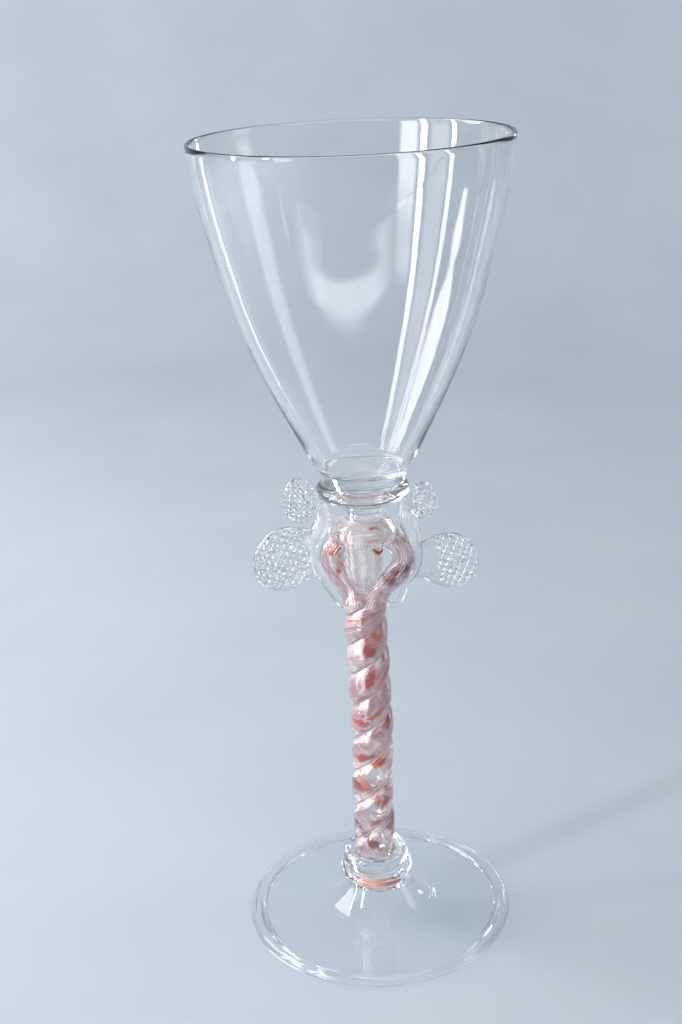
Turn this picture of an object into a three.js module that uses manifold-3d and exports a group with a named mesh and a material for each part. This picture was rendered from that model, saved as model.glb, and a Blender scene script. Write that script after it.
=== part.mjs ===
// A winged goblet of hot-worked soda glass. Millimetres, +Z up, X across the wings, resting on z = 0.
import * as THREE from "three";
import { mergeVertices } from "three/addons/utils/BufferGeometryUtils.js";
import Module from "manifold-3d";

const wasm = await Module();
wasm.setup();

const { lerp, smoothstep } = THREE.MathUtils;
const vector = (x, y, z) => new THREE.Vector3(x, y, z);

// Fits
const seatGap = 0.3;
const cutOverrunLength = 1.5;
const mergeTolerance = 1e-4;
const halfTurn = Math.PI;
const turn = halfTurn + halfTurn;

// Glass, as it shows before it is dressed
const thinGlass = { color: "#e6edf3", roughness: 0.02, opacity: 0.3 };
const plateGlass = { color: "#dfe6ec", roughness: 0.04, opacity: 0.4 };
const clearGlass = { color: "#e4e6ec", roughness: 0.04, opacity: 0.5 };
const ribbedGlass = { color: "#e2bfc0", roughness: 0.08, opacity: 0.7 };
const capGlass = { color: "#ead9d8", roughness: 0.06, opacity: 0.6 };

// Foot: a bell that flares into a thin plate with a folded rim
const footRadius = 47.8;
const footHeight = 15.7;
const footSegments = 42;
const footRimWidth = 5.4;
const footRimHeight = 4.3;
const footRestWidth = 2.2;
const footTopRadiusShares = [0.2, 0.217, 0.235, 0.285, 0.37, 0.5, 0.69, 0.885];
const footTopHeightShares = [1, 0.96, 0.8, 0.6, 0.43, 0.33, 0.26, 0.215];
const footUnderRadiusShares = [0.9, 0.69, 0.5, 0.36, 0.25, 0.18, 0.115, 0];
const footUnderHeightShares = [0.075, 0.115, 0.175, 0.26, 0.42, 0.57, 0.67, 0.7];
const footRimSteps = 6;
const footRimStartAngle = 2.7;
const footRimEndAngle = -0.95;
const footRimReturnAngle = -2.2;

// Two collars between the foot and the stem
const collarSegments = 32;
const lowerCollarRadius = 13.25;
const lowerCollarHeight = 4.4;
const lowerCollarRadiusShares = [0.72, 0.9, 1, 0.94, 0.82];
const lowerCollarHeightShares = [0, 0.12, 0.5, 0.88, 1];
const upperCollarRadius = 11.75;
const upperCollarHeight = 6.2;
const upperCollarRadiusShares = [0.88, 0.97, 1, 0.96, 0.86];
const upperCollarHeightShares = [0, 0.16, 0.52, 0.86, 1];
const dishDepth = 2.2;
const dishClearance = 0.9;
const dishLipShare = 0.3;

// Stem: two canes twisted round each other
const stemRadius = 7.5;
const twistHeight = 99;
const facingGap = 0.4;
const grooveDepthShare = 0.17;
const grooveSharpness = 6;
const topHalfPitchLength = 10.7;
const halfPitchGainLength = 0.3;
const firstGrooveDepth = 4.5;
const twistStepAngle = 0.34;
const caneArcPoints = 10;

// Knot: the canes open into a loop each and close again under the cap
const knotHeight = 23.3;
const loopCaneRadius = 3.75;
const caneCentreShare = 0.41;
const loopSteps = 22;
const loopRoundingSteps = 6;
const rightLoopReach = 12.6;
const rightLoopReachShares = [0.19, 0.34, 0.65, 0.92, 1, 0.93, 0.7, 0.5];
const rightLoopRiseShares = [0.1, 0.235, 0.385, 0.54, 0.69, 0.84, 0.97, 1.09];
const rightLoopDepthShares = [-0.07, -0.09, -0.09, -0.06, -0.02, 0.03, 0.04, 0.03];
const leftLoopReach = 11.6;
const leftLoopReachShares = [0.38, 0.5, 0.73, 0.98, 1, 0.78, 0.54];
const leftLoopRiseShares = [0.08, 0.21, 0.41, 0.63, 0.82, 0.97, 1.1];
const leftLoopDepthShares = [0.08, 0.1, 0.09, 0.04, -0.02, -0.04, -0.03];
const centreCaneWidth = 13.6;
const centreCaneDepth = 8.2;
const centreCaneSideOffset = -1.3;
const centreCaneForwardOffset = -1.4;
const centreCaneLengthShare = 0.84;
const centreCaneWidthShares = [0.42, 0.7, 0.94, 1, 0.98, 0.92];
const centreCaneDepthShares = [0.6, 0.84, 1, 1, 1, 0.96];
const centreCaneSteps = 10;
const centreCanePoints = 16;

// Cap, neck and merese
const capRadius = 11.15;
const capHeight = 7.9;
const capRadiusShares = [0.93, 1, 0.985, 0.93, 0.83, 0.7, 0.6];
const capHeightShares = [0, 0.12, 0.36, 0.62, 0.84, 0.96, 1];
const neckRadius = 6.5;
const neckHeight = 4.5;
const neckRadiusShares = [0.95, 1, 0.94, 0.91, 0.95, 1];
const neckHeightShares = [0, 0.18, 0.4, 0.62, 0.85, 1];
const mereseRadius = 15.75;
const mereseHeight = 7.6;
const mereseRadiusShares = [0.43, 0.62, 0.84, 0.965, 1, 0.965, 0.89, 0.82];
const mereseHeightShares = [0, 0.14, 0.31, 0.47, 0.66, 0.84, 0.96, 1];

// Bowl: a thin funnel with a thick floor
const bowlRadius = 51;
const bowlHeight = 111.8;
const bowlSegments = 40;
const bowlProfileSteps = 11;
const bowlFlareShares = [0.267, 0.4, 0.532, 0.653, 0.755, 0.835, 0.906, 0.964, 1];
const bowlWall = 1.2;
const bowlWallGainAtFloor = 1.7;
const bowlWallGainPower = 5;
const bowlFloorThickness = 3.8;
const bowlFloorRadiusShares = [0, 0.35, 0.68, 0.9];
const bowlFloorRiseShares = [0, 0.02, 0.16, 0.42];
const bowlFloorRise = 4;
const bowlLipSteps = 4;

// The stem stands a little off the axis of the glass, by these lengths from the foot up to the bowl
const wanderOffsets = [0, -1, -1, -0.4, -0.8, -1.3, -0.65, -0.4, 0];
const wanderHeightShares = [0.03, 0.075, 0.19, 0.27, 0.35, 0.42, 0.54, 0.585, 0.61];

// Trails: clear bands laid up the outer side of each loop
const trailPoints = 10;
const trailSteps = 28;
const trailDepthShare = 0.86;
const trailEndShare = 0.55;
const leftTrailClearance = 2.55;
const leftTrailReachShares = [0.43, 0.52, 0.635, 0.745, 0.835, 0.93, 0.985, 1, 0.85, 0.775, 0.83];
const leftTrailRiseShare = 1.005;
const leftTrailRiseShares = [0, 0.04, 0.115, 0.2, 0.3, 0.375, 0.49, 0.61, 0.755, 0.885, 1];
const leftTrailRadius = 3.3;
const leftTrailRadiusShares = [0.36, 0.42, 0.45, 0.46, 0.49, 0.66, 0.57, 0.52, 1, 0.67, 0.55];
const rightTrailClearance = 0.55;
const rightTrailReachShares = [0.37, 0.35, 0.475, 0.62, 0.715, 0.775, 0.92, 1, 0.985, 0.925, 0.83, 0.78, 0.79];
const rightTrailRiseShare = 1.04;
const rightTrailRiseShares = [0.1, 0.04, 0, 0.035, 0.12, 0.215, 0.31, 0.42, 0.55, 0.675, 0.785, 0.915, 1];
const rightTrailRadius = 2.9;
const rightTrailRadiusShares = [0.26, 0.3, 0.3, 0.33, 0.38, 0.5, 0.62, 0.69, 0.78, 0.97, 1, 0.6, 0.5];
const trailStartDepth = 1.4;

// Pads: clear bits pressed with waffled pincers, two wings and two crests
const padThickness = 2.9;
const padEdgeShare = 0.36;
const padRootThicknessShare = 0.85;
const padBulgePower = 3;
const knobHeight = 0.55;
const knobMarginShare = 0.8;
const knobRootShare = 0.3;
const padBendDepth = 1.2;

// Each pad is rooted in its trail, at these shares of the trail's reach and rise
const leftWing = {
  name: "wing_left", side: -1, reachShare: 0.905, riseShare: 0.534, spanLength: 22.6, fallHeight: 3.6,
  halfHeight: 11.7, rootHalfHeight: 9, waistShare: 0.2, waistDepth: 0, centreShare: 0.47,
  along: 14, across: 14,
};
const rightWing = {
  name: "wing_right", side: 1, reachShare: 0.935, riseShare: 0.418, spanLength: 22.1, fallHeight: 0.9,
  halfHeight: 10.2, rootHalfHeight: 6.9, waistShare: 0.22, waistDepth: 0.6, centreShare: 0.585,
  along: 14, across: 12,
};
const leftCrest = {
  name: "crest_left", side: -1, reachShare: 0.816, riseShare: 1.021, spanLength: 12.8, fallHeight: -0.9,
  halfHeight: 8.3, rootHalfHeight: 3.4, waistShare: 0.1, waistDepth: 0, centreShare: 0.52,
  along: 10, across: 12,
};
const rightCrest = {
  name: "crest_right", side: 1, reachShare: 0.763, riseShare: 0.965, spanLength: 11.4, fallHeight: 0.2,
  halfHeight: 6.7, rootHalfHeight: 2.9, waistShare: 0.1, waistDepth: 0, centreShare: 0.53,
  along: 10, across: 10,
};

// Levels, from the foot up
const lowerCollarBase = footHeight + seatGap;
const upperCollarBase = lowerCollarBase + lowerCollarHeight + seatGap;
const dishFloor = upperCollarBase + upperCollarHeight - dishDepth;
const stemBase = dishFloor + seatGap;
const twistTop = stemBase + twistHeight;
const capBase = twistTop + knotHeight + seatGap;
const neckBase = capBase + capHeight + seatGap;
const mereseBase = neckBase + neckHeight + seatGap;
const bowlBase = mereseBase + mereseHeight + seatGap;
const glassHeight = bowlBase + bowlHeight;

// Trails start in the top of the twist, stand off the loops and end beside the merese
const trailBase = twistTop - trailStartDepth;
const trailSpan = mereseBase - trailBase;
const leftTrailRise = trailSpan * leftTrailRiseShare;
const rightTrailRise = trailSpan * rightTrailRiseShare;
const leftTrailReach = leftLoopReach + loopCaneRadius + leftTrailClearance;
const rightTrailReach = rightLoopReach + loopCaneRadius + rightTrailClearance;

// A smooth value at a share of an evenly spaced list.
function smoothAt(values, share) {
  const last = values.length - 1;
  const place = Math.min(Math.max(share, 0), 1) * last;
  const k = Math.min(Math.floor(place), last - 1);
  const t = place - k;
  const [a, b, c, d] = [k - 1, k, k + 1, k + 2].map((i) => values[Math.min(Math.max(i, 0), last)]);
  return b + 0.5 * t * (c - a + t * (2 * a - 5 * b + 4 * c - d + t * (3 * (b - c) + d - a)));
}

// How far the stem stands to the side at a height.
function wanderAt(height) {
  const share = height / glassHeight;
  const k = wanderHeightShares.findIndex((s) => s > share);
  if (k === -1) return wanderOffsets[wanderOffsets.length - 1];
  if (k === 0) return wanderOffsets[0];
  const t = smoothstep(share, wanderHeightShares[k - 1], wanderHeightShares[k]);
  return lerp(wanderOffsets[k - 1], wanderOffsets[k], t);
}

// A closed manifold-3d solid from a three.js geometry.
function solidOf(geometry) {
  const bare = new THREE.BufferGeometry().setAttribute("position", geometry.getAttribute("position"));
  bare.setIndex(geometry.index);
  const merged = mergeVertices(bare, mergeTolerance);
  const kept = [];
  const index = merged.index.array;
  for (let i = 0; i < index.length; i += 3) {
    const [a, b, c] = [index[i], index[i + 1], index[i + 2]];
    if (a !== b && b !== c && c !== a) kept.push(a, b, c);
  }
  const mesh = new wasm.Mesh({
    numProp: 3,
    vertProperties: merged.getAttribute("position").array,
    triVerts: new Uint32Array(kept),
  });
  return new wasm.Manifold(mesh);
}

// A turned solid: [radius, height] pairs from the axis at the bottom, round the outside, to the axis again.
function turned(profile, segments, aside = 0) {
  const lathe = new THREE.LatheGeometry(profile.map(([r, z]) => new THREE.Vector2(r, z)), segments);
  lathe.rotateX(Math.PI / 2);
  lathe.translate(aside, 0, 0);
  return solidOf(lathe);
}

function profileOf(radius, radiusShares, base, height, heightShares) {
  return radiusShares.map((share, i) => [radius * share, base + height * heightShares[i]]);
}

function ringPoint(middle, radius, angle) {
  return [middle[0] + radius * Math.cos(angle), middle[1] + radius * Math.sin(angle)];
}

// A profile grown by a margin all round, for cutting a neighbour clear of it.
function grown(profile, margin) {
  const middle = (profile[0][1] + profile[profile.length - 1][1]) / 2;
  const at = (i) => profile[Math.min(Math.max(i, 0), profile.length - 1)];
  return profile.map(([r, z], i) => {
    if (r === 0) return [0, z + Math.sign(z - middle) * margin];
    const [before, after] = [at(i - 1), at(i + 1)];
    const along = new THREE.Vector2(after[0] - before[0], after[1] - before[1]).normalize();
    return [r + along.y * margin, z - along.x * margin];
  });
}

// A solid skinned over rings of points. The last column splits its facets the other way, so facing canes match.
function skinned(rings) {
  const count = rings[0].length;
  const points = [];
  rings.forEach((ring) => ring.forEach((p) => points.push(p.x, p.y, p.z)));
  const index = [];
  for (let i = 0; i + 1 < rings.length; i++)
    for (let j = 0; j < count; j++) {
      const next = (j + 1) % count;
      const [a, b, c, d] = [i * count + j, i * count + next, (i + 1) * count + next, (i + 1) * count + j];
      if (next === 0) index.push(a, b, d, b, c, d);
      else index.push(a, b, c, a, c, d);
    }
  [0, rings.length - 1].forEach((k) => {
    const middle = rings[k].reduce((sum, p) => sum.add(p), vector()).divideScalar(count);
    const hub = points.length / 3;
    points.push(middle.x, middle.y, middle.z);
    for (let j = 0; j < count; j++) {
      const [a, b] = [k * count + j, k * count + ((j + 1) % count)];
      index.push(hub, ...(k === 0 ? [b, a] : [a, b]));
    }
  });
  const geometry = new THREE.BufferGeometry();
  geometry.setAttribute("position", new THREE.Float32BufferAttribute(points, 3));
  geometry.setIndex(index);
  return solidOf(geometry);
}

// The largest body of a solid after its cuts.
function largest(solid) {
  return solid.decompose().reduce((best, body) => (body.volume() > best.volume() ? body : best));
}

const group = new THREE.Group();
group.name = "stemmed_glass";

function place(name, solid, glass) {
  const made = solid.getMesh();
  const positions = new Float32Array(made.numVert * 3);
  for (let i = 0; i < made.numVert; i++)
    positions.set(made.vertProperties.subarray(i * made.numProp, i * made.numProp + 3), i * 3);
  const geometry = new THREE.BufferGeometry();
  geometry.setAttribute("position", new THREE.BufferAttribute(positions, 3));
  geometry.setIndex(new THREE.BufferAttribute(made.triVerts, 1));
  geometry.computeVertexNormals();
  const mesh = new THREE.Mesh(geometry, new THREE.MeshStandardMaterial({ ...glass, transparent: true }));
  mesh.name = name;
  group.add(mesh);
}

// Foot
const rimMiddle = footRadius - footRimWidth / 2;
function rimPoint(angle) {
  return [rimMiddle + (footRimWidth / 2) * Math.cos(angle), (footRimHeight / 2) * (1 + Math.sin(angle))];
}
const rimPoints = [];
for (let i = 0; i <= footRimSteps; i++)
  rimPoints.push(rimPoint(lerp(footRimStartAngle, footRimEndAngle, i / footRimSteps)));
const footTop = profileOf(footRadius, footTopRadiusShares, 0, footHeight, footTopHeightShares);
const footUnder = profileOf(footRadius, footUnderRadiusShares, 0, footHeight, footUnderHeightShares);
const footProfile = [
  [0, footHeight],
  ...footTop,
  ...rimPoints,
  [rimMiddle + footRestWidth / 2, 0],
  [rimMiddle - footRestWidth / 2, 0],
  rimPoint(footRimReturnAngle),
  ...footUnder,
].reverse();
place("foot", turned(footProfile, footSegments), plateGlass);

// Collars
const lowerCollarProfile = [
  [0, lowerCollarBase],
  ...profileOf(
    lowerCollarRadius, lowerCollarRadiusShares, lowerCollarBase, lowerCollarHeight, lowerCollarHeightShares,
  ),
  [0, lowerCollarBase + lowerCollarHeight],
];
place("collar_lower", turned(lowerCollarProfile, collarSegments, wanderAt(lowerCollarBase)), clearGlass);

const dishRadius = stemRadius + dishClearance;
const upperCollarTop = upperCollarBase + upperCollarHeight;
const upperCollarProfile = [
  [0, upperCollarBase],
  ...profileOf(
    upperCollarRadius, upperCollarRadiusShares, upperCollarBase, upperCollarHeight, upperCollarHeightShares,
  ),
  [dishRadius + dishClearance * dishLipShare, upperCollarTop - dishDepth * dishLipShare],
  [dishRadius, dishFloor],
  [0, dishFloor],
];
place("collar_upper", turned(upperCollarProfile, collarSegments, wanderAt(upperCollarBase)), clearGlass);

// Cap, neck, merese
const capProfile = [
  [0, capBase],
  ...profileOf(capRadius, capRadiusShares, capBase, capHeight, capHeightShares),
  [0, capBase + capHeight],
];
const capAside = wanderAt(capBase);
const capCutter = turned(grown(capProfile, seatGap), collarSegments, capAside);
place("cap", turned(capProfile, collarSegments, capAside), capGlass);

const neckProfile = [
  [0, neckBase],
  ...profileOf(neckRadius, neckRadiusShares, neckBase, neckHeight, neckHeightShares),
  [0, neckBase + neckHeight],
];
place("neck", turned(neckProfile, collarSegments, capAside), clearGlass);

const mereseProfile = [
  [0, mereseBase],
  ...profileOf(mereseRadius, mereseRadiusShares, mereseBase, mereseHeight, mereseHeightShares),
  [0, mereseBase + mereseHeight],
];
const mereseAside = wanderAt(mereseBase);
const mereseCutter = turned(grown(mereseProfile, seatGap), collarSegments, mereseAside);
place("merese", turned(mereseProfile, collarSegments, mereseAside), clearGlass);

// Bowl
const bowlOuterAt = (share) => bowlRadius * smoothAt(bowlFlareShares, share);
const bowlWallAt = (share) => bowlWall + bowlWallGainAtFloor * (1 - share) ** bowlWallGainPower;
const bowlInnerAt = (share) => bowlOuterAt(share) - bowlWallAt(share);
const bowlHeightAt = (share) => bowlBase + bowlHeight * share;
const lipShare = 1 - bowlWall / 2 / bowlHeight;
const floorTopShare = (bowlFloorThickness + bowlFloorRise) / bowlHeight;
const bowlProfile = [[0, bowlBase]];
const bowlOutside = [];
for (let i = 0; i <= bowlProfileSteps; i++) {
  const share = (lipShare * i) / bowlProfileSteps;
  bowlProfile.push([bowlOuterAt(share), bowlHeightAt(share)]);
  bowlOutside.push([bowlOuterAt(share) + seatGap, bowlHeightAt(share) - seatGap]);
}
const lipMiddle = [bowlOuterAt(lipShare) - bowlWall / 2, bowlHeightAt(lipShare)];
for (let i = 1; i < bowlLipSteps; i++)
  bowlProfile.push(ringPoint(lipMiddle, bowlWall / 2, (halfTurn * i) / bowlLipSteps));
for (let i = 0; i <= bowlProfileSteps; i++) {
  const share = lerp(lipShare, floorTopShare, i / bowlProfileSteps);
  bowlProfile.push([bowlInnerAt(share), bowlHeightAt(share)]);
}
const floorRadius = bowlInnerAt(floorTopShare);
for (let i = bowlFloorRadiusShares.length - 1; i >= 0; i--)
  bowlProfile.push([
    floorRadius * bowlFloorRadiusShares[i],
    bowlBase + bowlFloorThickness + bowlFloorRise * bowlFloorRiseShares[i],
  ]);
place("bowl", turned(bowlProfile, bowlSegments), thinGlass);

// Half turns of the groove, counted down from where it faces right.
function grooveTurnsAt(height) {
  const below = twistTop - firstGrooveDepth - height;
  const share = topHalfPitchLength / halfPitchGainLength / 2;
  return Math.sqrt(share ** 2 + below / halfPitchGainLength) - share;
}
const grooveAngleAt = (height) => -halfTurn * grooveTurnsAt(height);

// The section of one cane in the twist: half a round with soft shoulders, its flat towards the other cane.
const caneCentre = new THREE.Vector2(0, stemRadius * caneCentreShare);
function twistSection(grow) {
  const points = [new THREE.Vector2(0, facingGap / 2)];
  for (let j = 0; j < caneArcPoints; j++) {
    const angle = (halfTurn * j) / (caneArcPoints - 1);
    const radius = stemRadius * (1 - grooveDepthShare * Math.abs(Math.cos(angle)) ** grooveSharpness);
    points.push(new THREE.Vector2(radius * Math.cos(angle), facingGap / 2 + radius * Math.sin(angle)));
  }
  const outward = (p) => p.clone().sub(caneCentre).setLength(grow);
  points.push(points.shift());
  return grow ? points.map((p) => p.clone().add(outward(p))) : points;
}

// One cane: up the twist, then out and round its loop to the cap. Its flat looks at the other cane.
function caneRings(side, reach, reachShares, riseShares, depthShares, grow, fromTwist) {
  const rings = [];
  const section = twistSection(grow);
  const bottomAngle = grooveAngleAt(stemBase);
  const topAngle = grooveAngleAt(twistTop);
  const steps = Math.ceil((topAngle - bottomAngle) / twistStepAngle);
  const facing = side > 0 ? -halfTurn : 0;
  for (let i = fromTwist ? 0 : steps; i <= steps; i++) {
    const turns = lerp(bottomAngle, topAngle, i / steps) / -halfTurn;
    const height = twistTop - firstGrooveDepth - turns * (topHalfPitchLength + halfPitchGainLength * turns);
    const angle = -halfTurn * turns + facing;
    const [cos, sin] = [Math.cos(angle), Math.sin(angle)];
    const aside = wanderAt(height);
    rings.push(section.map((p) => vector(aside + p.x * cos - p.y * sin, p.x * sin + p.y * cos, height)));
  }
  const angle = topAngle + facing;
  const aside = wanderAt(twistTop);
  const start = vector(aside - caneCentre.y * Math.sin(angle), caneCentre.y * Math.cos(angle), twistTop);
  const along = reachShares.map((share, i) =>
    vector(side * reach * share, reach * depthShares[i], twistTop + knotHeight * riseShares[i]),
  );
  const path = new THREE.CatmullRomCurve3([start, ...along], false, "centripetal");
  const across = vector(Math.cos(angle), Math.sin(angle), 0);
  let before = vector(0, 0, 1);
  for (let i = 1; i <= loopSteps; i++) {
    const centre = path.getPointAt(i / loopSteps);
    const heading = path.getTangentAt(i / loopSteps);
    across.applyQuaternion(new THREE.Quaternion().setFromUnitVectors(before, heading));
    const out = vector().crossVectors(heading, across);
    const round = Math.min(i / loopRoundingSteps, 1);
    rings.push(
      section.map((p) => {
        const flat = p.clone().sub(caneCentre);
        const disc = flat.clone().setLength(loopCaneRadius + grow);
        const q = flat.lerp(disc, smoothstep(round, 0, 1));
        return centre.clone().addScaledVector(across, q.x).addScaledVector(out, q.y);
      }),
    );
    before = heading;
  }
  return rings;
}

const rightLoop = [1, rightLoopReach, rightLoopReachShares, rightLoopRiseShares, rightLoopDepthShares];
const leftLoop = [-1, leftLoopReach, leftLoopReachShares, leftLoopRiseShares, leftLoopDepthShares];
const rightLoopCutter = skinned(caneRings(...rightLoop, seatGap, false));
const leftLoopCutter = skinned(caneRings(...leftLoop, seatGap, false));
const rightCane = largest(skinned(caneRings(...rightLoop, 0, true)).subtract(capCutter));
const leftCaneWhole = skinned(caneRings(...leftLoop, 0, true));
const leftCane = largest(leftCaneWhole.subtract(capCutter).subtract(rightLoopCutter));
place("cane_right", rightCane, ribbedGlass);
place("cane_left", leftCane, ribbedGlass);

// The broad cane between the loops.
const centreRings = [];
for (let i = 0; i <= centreCaneSteps; i++) {
  const share = i / centreCaneSteps;
  const height = lerp(capBase - knotHeight * centreCaneLengthShare, capBase + cutOverrunLength, share);
  const ring = [];
  for (let j = 0; j < centreCanePoints; j++) {
    const angle = (turn * j) / centreCanePoints;
    const x = (centreCaneWidth / 2) * smoothAt(centreCaneWidthShares, share) * Math.cos(angle);
    const y = (centreCaneDepth / 2) * smoothAt(centreCaneDepthShares, share) * Math.sin(angle);
    ring.push(vector(centreCaneSideOffset + x, centreCaneForwardOffset + y, height));
  }
  centreRings.push(ring);
}
const besideLoops = skinned(centreRings).subtract(rightLoopCutter).subtract(leftLoopCutter);
place("cane_centre", largest(besideLoops.subtract(capCutter)), ribbedGlass);

// A clear trail of oval section along a path in the plane of the wings.
function trail(side, reach, reachShares, rise, riseShares, radius, radiusShares, grow) {
  const places = reachShares.map((share, i) => vector(side * reach * share, 0, trailBase + rise * riseShares[i]));
  const path = new THREE.CatmullRomCurve3(places, false, "centripetal");
  const rings = [];
  for (let i = 0; i <= trailSteps; i++) {
    const share = i / trailSteps;
    const centre = path.getPoint(share);
    const heading = path.getTangent(share);
    const across = vector(heading.z, 0, -heading.x);
    const end = i === 0 || i === trailSteps ? trailEndShare : 1;
    const half = radius * smoothAt(radiusShares, share) * end + grow;
    const ring = [];
    for (let j = 0; j < trailPoints; j++) {
      const angle = (turn * j) / trailPoints;
      const p = centre.clone().addScaledVector(across, half * Math.cos(angle));
      p.y += ((half - grow) * trailDepthShare + grow) * Math.sin(angle);
      ring.push(p);
    }
    rings.push(ring);
  }
  if (grow)
    [0, trailSteps].forEach((k) => {
      const heading = path.getTangent(k / trailSteps).multiplyScalar(k ? grow : -grow);
      rings[k].forEach((p) => p.add(heading));
    });
  return skinned(rings);
}

const leftTrail = [
  -1, leftTrailReach, leftTrailReachShares, leftTrailRise, leftTrailRiseShares,
  leftTrailRadius, leftTrailRadiusShares,
];
const rightTrail = [
  1, rightTrailReach, rightTrailReachShares, rightTrailRise, rightTrailRiseShares,
  rightTrailRadius, rightTrailRadiusShares,
];
const rightCaneCutter = skinned(caneRings(...rightLoop, seatGap, true));
const leftCaneCutter = skinned(caneRings(...leftLoop, seatGap, true));
function clearOfKnot(solid) {
  const cutters = [capCutter, mereseCutter, rightCaneCutter, leftCaneCutter];
  return cutters.reduce((rest, cutter) => rest.subtract(cutter), solid);
}
place("trail_left", largest(clearOfKnot(trail(...leftTrail, 0))), clearGlass);
place("trail_right", largest(clearOfKnot(trail(...rightTrail, 0))), clearGlass);

// Half the height of a pad at a share of its length: a root, a slight waist and a round end.
function padHalfHeightAt(pad, share) {
  if (share >= pad.centreShare) {
    const out = (share - pad.centreShare) / (1 - pad.centreShare);
    return pad.halfHeight * Math.sqrt(Math.max(1 - out * out, 0));
  }
  const t = share / pad.centreShare;
  const swell = lerp(pad.rootHalfHeight, pad.halfHeight, smoothstep(t, 0, 1));
  return swell - pad.waistDepth * Math.sin(halfTurn * Math.min(t / (2 * pad.waistShare), 1));
}

// A pad pressed between waffled pincers: a lens with rows of knobs inside a smooth margin.
function padSolid(pad, grow) {
  const rings = [];
  const rootReach = pad.reachShare * (pad.side < 0 ? leftTrailReach : rightTrailReach);
  const rootRise = trailBase + pad.riseShare * (pad.side < 0 ? leftTrailRise : rightTrailRise);
  for (let i = 0; i <= pad.along; i++) {
    const sweep = i / pad.along;
    const near = Math.min(sweep * 2, 1) * pad.centreShare;
    const far = Math.sin((Math.max(sweep * 2 - 1, 0) * halfTurn) / 2) * (1 - pad.centreShare);
    const share = near + far * (1 - seatGap / pad.spanLength);
    const half = padHalfHeightAt(pad, share) + grow;
    const thin = lerp(padRootThicknessShare, 1, Math.min(share / knobRootShare, 1));
    const rim = Math.min(Math.max(half / pad.halfHeight, padEdgeShare), 1);
    const ring = [];
    const bend = padBendDepth * share * share;
    for (let j = 0; j < 2 * pad.across; j++) {
      const front = j < pad.across;
      const step = front ? j : 2 * pad.across - j;
      const v = lerp(-1, 1, step / pad.across);
      const lens = lerp(padEdgeShare, 1, 1 - Math.abs(v) ** padBulgePower);
      const inWaffle = Math.abs(v) < knobMarginShare && share > knobRootShare;
      const knob = inWaffle && i % 2 === 1 && step % 2 === 1 ? knobHeight : 0;
      const depth = (padThickness / 2) * thin * Math.min(lens, Math.sqrt(rim)) + knob + grow;
      const reach = rootReach + (pad.spanLength + grow) * share;
      const rise = rootRise - pad.fallHeight * share + v * half;
      ring.push(vector(pad.side * reach, (front ? -depth : depth) - bend, rise));
    }
    rings.push(pad.side > 0 ? ring.reverse() : ring);
  }
  return skinned(rings);
}

const bowlCutter = turned([[0, bowlBase - seatGap], ...bowlOutside, [0, glassHeight]], bowlSegments);
[[leftTrail, leftWing, leftCrest], [rightTrail, rightWing, rightCrest]].forEach(([band, wing, crest]) => {
  const bandCutter = trail(...band, seatGap);
  place(wing.name, largest(clearOfKnot(padSolid(wing, 0)).subtract(bandCutter)), clearGlass);
  const crestSolid = clearOfKnot(padSolid(crest, 0)).subtract(bandCutter).subtract(padSolid(wing, seatGap));
  place(crest.name, largest(crestSolid.subtract(bowlCutter)), clearGlass);
});

export default group;
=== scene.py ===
# A winged goblet in hot-worked soda glass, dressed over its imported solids.
import bpy
import math
from functools import partial
from mathutils import Matrix, Quaternion, Vector, noise


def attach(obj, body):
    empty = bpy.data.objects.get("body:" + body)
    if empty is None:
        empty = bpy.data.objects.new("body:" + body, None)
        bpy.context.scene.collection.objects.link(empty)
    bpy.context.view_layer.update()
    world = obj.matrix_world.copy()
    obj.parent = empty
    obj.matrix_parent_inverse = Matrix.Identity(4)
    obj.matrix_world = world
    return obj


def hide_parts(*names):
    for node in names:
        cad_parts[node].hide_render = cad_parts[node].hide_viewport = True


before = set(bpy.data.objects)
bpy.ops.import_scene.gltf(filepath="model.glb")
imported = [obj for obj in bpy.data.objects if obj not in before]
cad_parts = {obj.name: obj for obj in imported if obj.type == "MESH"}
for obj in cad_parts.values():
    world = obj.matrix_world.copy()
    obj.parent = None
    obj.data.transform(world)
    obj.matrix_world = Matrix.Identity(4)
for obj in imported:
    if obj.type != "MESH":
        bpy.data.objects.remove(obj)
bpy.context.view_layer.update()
mm = 0.001
fullTurn = 2 * math.pi
crispAngle = math.radians(38)  # edges sharper than this stay crisp
fuse = 0.2  # how far joined pieces run into each other, so no air shows between them (mm)


class Look(dict):  # a dictionary whose entries are also read as attributes
    __getattr__ = dict.__getitem__


# Levels and the stem's drift to the side, as in the solids (mm)
levels = Look(
    lowerCollar=16, upperCollar=20.7, stem=25, twistTop=124, cap=147.6,
    neck=155.8, merese=160.6, bowl=168.5, top=280.3,
)
wander = Look(
    offsets=[0, -1, -1, -0.4, -0.8, -1.3, -0.65, -0.4, 0],
    shares=[0.03, 0.075, 0.19, 0.27, 0.35, 0.42, 0.54, 0.585, 0.61],
)


# Small tools

def linear(hexText):  # an sRGB hex colour as linear values
    parts = [int(hexText[i:i + 2], 16) / 255 for i in (1, 3, 5)]
    return [c / 12.92 if c <= 0.04045 else ((c + 0.055) / 1.055) ** 2.4 for c in parts] + [1]


def patternScale(size):  # a noise texture's scale for a pattern of this size in mm
    return 1 / (size * mm)


def smoothStep(a, b, value):
    t = min(max((value - a) / (b - a), 0), 1)
    return t * t * (3 - 2 * t)


def blendOf(a, b, t):
    return a + (b - a) * t


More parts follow.
